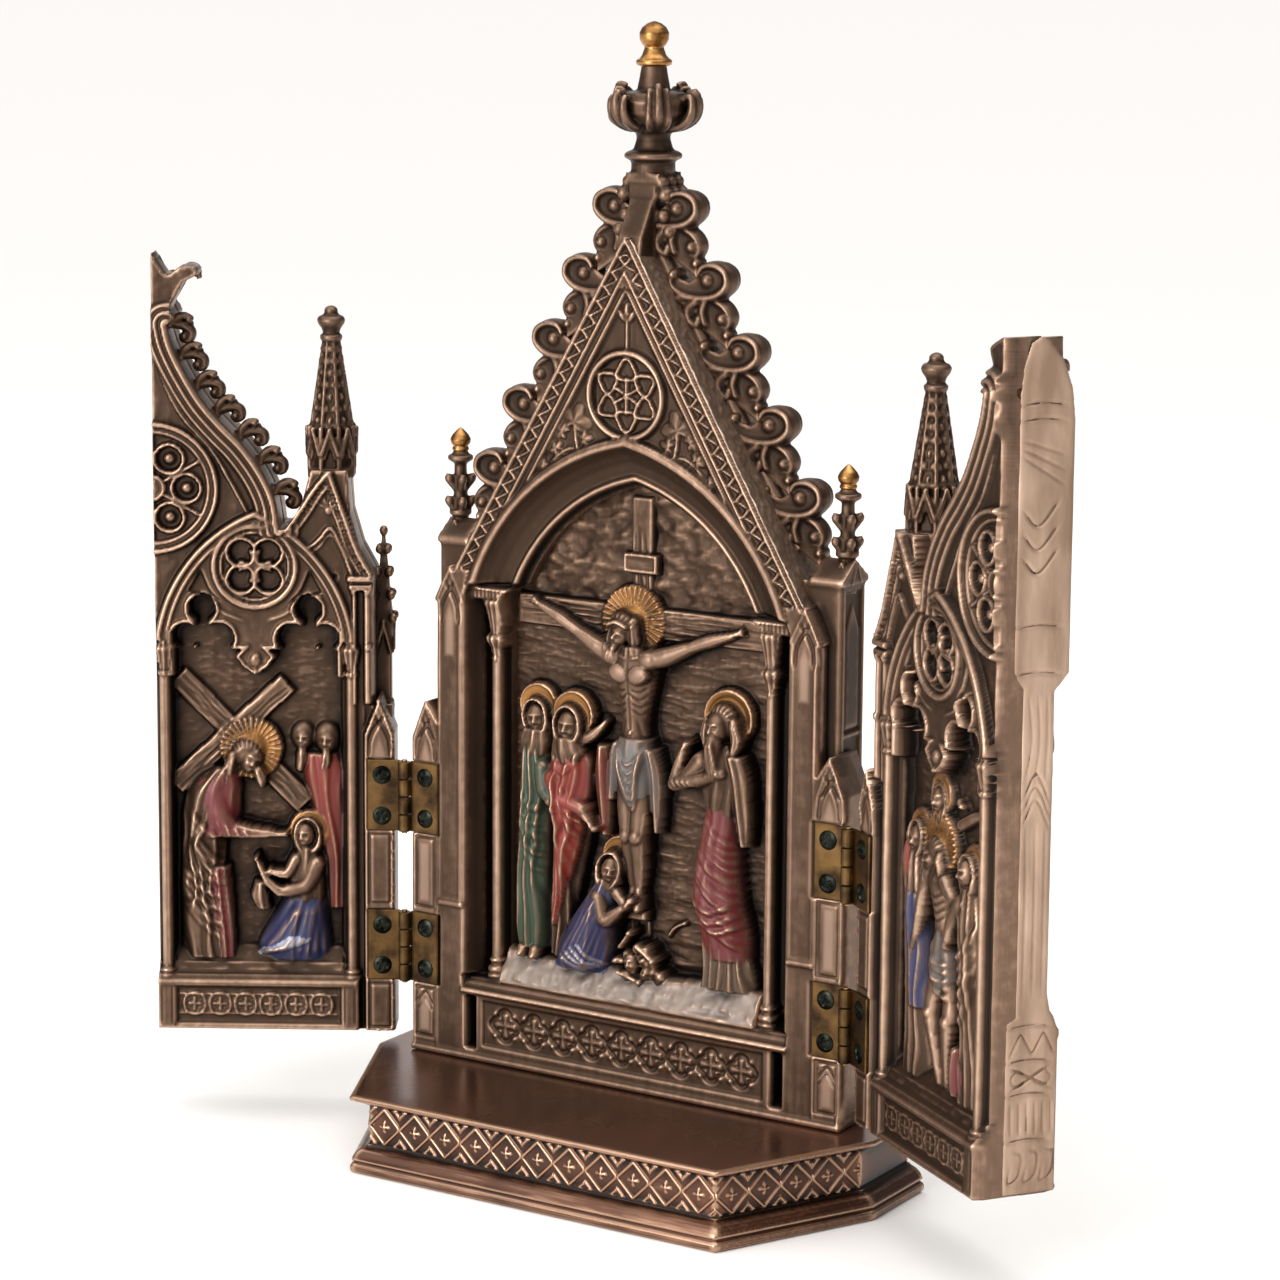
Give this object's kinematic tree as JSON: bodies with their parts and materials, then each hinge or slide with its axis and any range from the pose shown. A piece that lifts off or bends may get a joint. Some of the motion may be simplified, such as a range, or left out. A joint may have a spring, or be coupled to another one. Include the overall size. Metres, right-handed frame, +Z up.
{
  "type": "triptych altarpiece",
  "caption": "Small Gothic triptych altarpiece in cold-cast bronze: gabled centre panel with a relief Crucifixion, hinged relief wings and a moulded plinth.",
  "frame": {"origin": "middle of the plinth's underside", "axes": "+X to the viewer's right across the front, +Y from the front to the back, +Z up"},
  "size_m": [0.2663, 0.0672, 0.29],
  "materials": {
    "cast_bronze": "cold-cast bronze resin, dark patina in the hollows, rubbed copper on the raised edges, small painted robes and halos",
    "polished_bronze": "semi-gloss brown bronze resin",
    "brass": "aged brass hinge, worn brighter on the knuckles",
    "black_steel": "blackened steel screws"
  },
  "bodies": {
    "shrine": {"plinth": "polished_bronze", "centre_panel": "cast_bronze", "left_lower_hinge_panel_leaf": "brass", "left_lower_hinge_pin": "brass", "left_lower_hinge_panel_screw_bottom": "black_steel", "left_lower_hinge_panel_screw_top": "black_steel", "left_upper_hinge_panel_leaf": "brass", "left_upper_hinge_pin": "brass", "left_upper_hinge_panel_screw_bottom": "black_steel", "left_upper_hinge_panel_screw_top": "black_steel", "right_lower_hinge_panel_leaf": "brass", "right_lower_hinge_pin": "brass", "right_lower_hinge_panel_screw_bottom": "black_steel", "right_lower_hinge_panel_screw_top": "black_steel", "right_upper_hinge_panel_leaf": "brass", "right_upper_hinge_pin": "brass", "right_upper_hinge_panel_screw_bottom": "black_steel", "right_upper_hinge_panel_screw_top": "black_steel"},
    "left_wing": {"left_wing": "cast_bronze", "left_lower_hinge_wing_leaf": "brass", "left_lower_hinge_wing_screw_bottom": "black_steel", "left_lower_hinge_wing_screw_top": "black_steel", "left_upper_hinge_wing_leaf": "brass", "left_upper_hinge_wing_screw_bottom": "black_steel", "left_upper_hinge_wing_screw_top": "black_steel"},
    "right_wing": {"right_wing": "cast_bronze", "right_lower_hinge_wing_leaf": "brass", "right_lower_hinge_wing_screw_bottom": "black_steel", "right_lower_hinge_wing_screw_top": "black_steel", "right_upper_hinge_wing_leaf": "brass", "right_upper_hinge_wing_screw_bottom": "black_steel", "right_upper_hinge_wing_screw_top": "black_steel"}
  },
  "joints": [
    {"name": "left_hinge", "type": "hinge", "parent": "shrine", "child": "left_wing", "pos_m": [-0.0659, 0.00725, 0.068], "axis": [0, 0, 1], "range_deg": [-31, 148]},
    {"name": "right_hinge", "type": "hinge", "parent": "shrine", "child": "right_wing", "pos_m": [0.0659, 0.00725, 0.068], "axis": [0, 0, 1], "range_deg": [-144, 35]}
  ]
}
